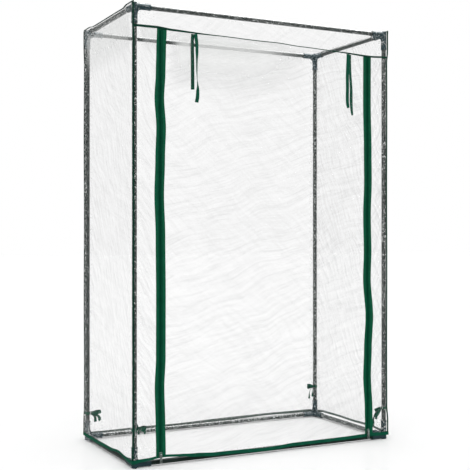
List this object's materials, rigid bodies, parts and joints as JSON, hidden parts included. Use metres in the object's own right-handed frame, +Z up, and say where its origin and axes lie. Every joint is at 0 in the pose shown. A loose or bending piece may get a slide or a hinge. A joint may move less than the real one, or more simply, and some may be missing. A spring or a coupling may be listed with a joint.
{
  "type": "greenhouse",
  "caption": "Tall rectangular tube-frame greenhouse with plug-in corner connectors, a clear bound film cover and a zipped front door that gathers up to ribbon ties.",
  "frame": {"origin": "on the ground at the centre of the frame's footprint", "axes": "+Z up, -Y out of the door, +X to the right seen from the front"},
  "size_m": [1.0044, 0.5122, 1.508],
  "materials": {
    "connector_plastic": "moulded, fine grain",
    "tube_coating": "satin powder coat",
    "clear_film": "clear, creased from folding",
    "edge_binding": "woven tape, stitched",
    "hem_tape": "woven tape, stitched",
    "seam_piping": "woven tape, folded",
    "zip_tape": "woven tape with nylon coil",
    "zip_slider": "cast, tumbled",
    "zip_pull": "pressed, tumbled",
    "door_ribbon": "woven ribbon",
    "post_ribbon": "woven ribbon"
  },
  "bodies": {
    "frame_and_cover": {"back_film": "clear_film", "binding_left_back": "edge_binding", "binding_left_front": "edge_binding", "binding_left_top": "edge_binding", "binding_right_back": "edge_binding", "binding_right_front": "edge_binding", "binding_right_top": "edge_binding", "connector_back_left_bottom": "connector_plastic", "connector_back_left_top": "connector_plastic", "connector_back_right_bottom": "connector_plastic", "connector_back_right_top": "connector_plastic", "connector_front_left_bottom": "connector_plastic", "connector_front_left_top": "connector_plastic", "connector_front_right_bottom": "connector_plastic", "connector_front_right_top": "connector_plastic", "door_film": "clear_film", "front_left_film": "clear_film", "front_right_film": "clear_film", "hem_back": "hem_tape", "hem_front": "hem_tape", "hem_left": "hem_tape", "hem_right": "hem_tape", "left_film": "clear_film", "post_back_left_lower": "tube_coating", "post_back_left_upper": "tube_coating", "post_back_right_lower": "tube_coating", "post_back_right_upper": "tube_coating", "post_front_left_lower": "tube_coating", "post_front_left_upper": "tube_coating", "post_front_right_lower": "tube_coating", "post_front_right_upper": "tube_coating", "post_tie_back_left": "post_ribbon", "post_tie_back_right": "post_ribbon", "post_tie_front_left": "post_ribbon", "post_tie_front_right": "post_ribbon", "rail_back_bottom": "tube_coating", "rail_back_top": "tube_coating", "rail_front_bottom": "tube_coating", "rail_front_top": "tube_coating", "rail_left_bottom": "tube_coating", "rail_left_top": "tube_coating", "rail_right_bottom": "tube_coating", "rail_right_top": "tube_coating", "right_film": "clear_film", "roof_film": "clear_film", "seam_piping": "seam_piping", "valance_film": "clear_film", "zip_left_door_half": "zip_tape", "zip_left_stay_half": "zip_tape", "zip_right_door_half": "zip_tape", "zip_right_stay_half": "zip_tape"},
    "door_hem": {"hem_door": "hem_tape"},
    "slider_left": {"zip_left_slider": "zip_slider"},
    "slider_right": {"zip_right_slider": "zip_slider"},
    "pull_left": {"zip_left_pull": "zip_pull"},
    "pull_right": {"zip_right_pull": "zip_pull"},
    "tie_left_outer": {"door_tie_left_outer": "door_ribbon"},
    "tie_left_inner": {"door_tie_left_inner": "door_ribbon"},
    "tie_right_outer": {"door_tie_right_outer": "door_ribbon"},
    "tie_right_inner": {"door_tie_right_inner": "door_ribbon"}
  },
  "joints": [
    {"name": "door_lift", "type": "slide", "parent": "frame_and_cover", "child": "door_hem", "axis": [0, 0, 1], "range_m": [0, 1.29], "deforming": ["door_film", "zip_left_door_half", "zip_right_door_half"]},
    {"name": "zip_left_slide", "type": "slide", "parent": "frame_and_cover", "child": "slider_left", "axis": [0, 0, 1], "range_m": [0, 1.29]},
    {"name": "pull_left_hinge", "type": "hinge", "parent": "slider_left", "child": "pull_left", "pos_m": [-0.4044, -0.2578, 0.037], "axis": [-1, 0, 0], "range_deg": [0, 170]},
    {"name": "zip_right_slide", "type": "slide", "parent": "frame_and_cover", "child": "slider_right", "axis": [0, 0, 1], "range_m": [0, 1.29]},
    {"name": "pull_right_hinge", "type": "hinge", "parent": "slider_right", "child": "pull_right", "pos_m": [0.4092, -0.2578, 0.037], "axis": [-1, 0, 0], "range_deg": [0, 170]},
    {"name": "tie_left_outer_swing", "type": "hinge", "parent": "frame_and_cover", "child": "tie_left_outer", "pos_m": [-0.2789, -0.2544, 1.41], "axis": [-1, 0, 0], "range_deg": [0, 170]},
    {"name": "tie_left_inner_swing", "type": "hinge", "parent": "frame_and_cover", "child": "tie_left_inner", "pos_m": [-0.2869, -0.249, 1.41], "axis": [1, 0, 0], "range_deg": [0, 110]},
    {"name": "tie_right_outer_swing", "type": "hinge", "parent": "frame_and_cover", "child": "tie_right_outer", "pos_m": [0.322, -0.2544, 1.41], "axis": [-1, 0, 0], "range_deg": [0, 170]},
    {"name": "tie_right_inner_swing", "type": "hinge", "parent": "frame_and_cover", "child": "tie_right_inner", "pos_m": [0.34, -0.249, 1.41], "axis": [1, 0, 0], "range_deg": [0, 110]}
  ],
  "couplings": [
    {"joint": "zip_left_slide", "follows": "door_lift", "ratio": 1},
    {"joint": "zip_right_slide", "follows": "door_lift", "ratio": 1}
  ]
}
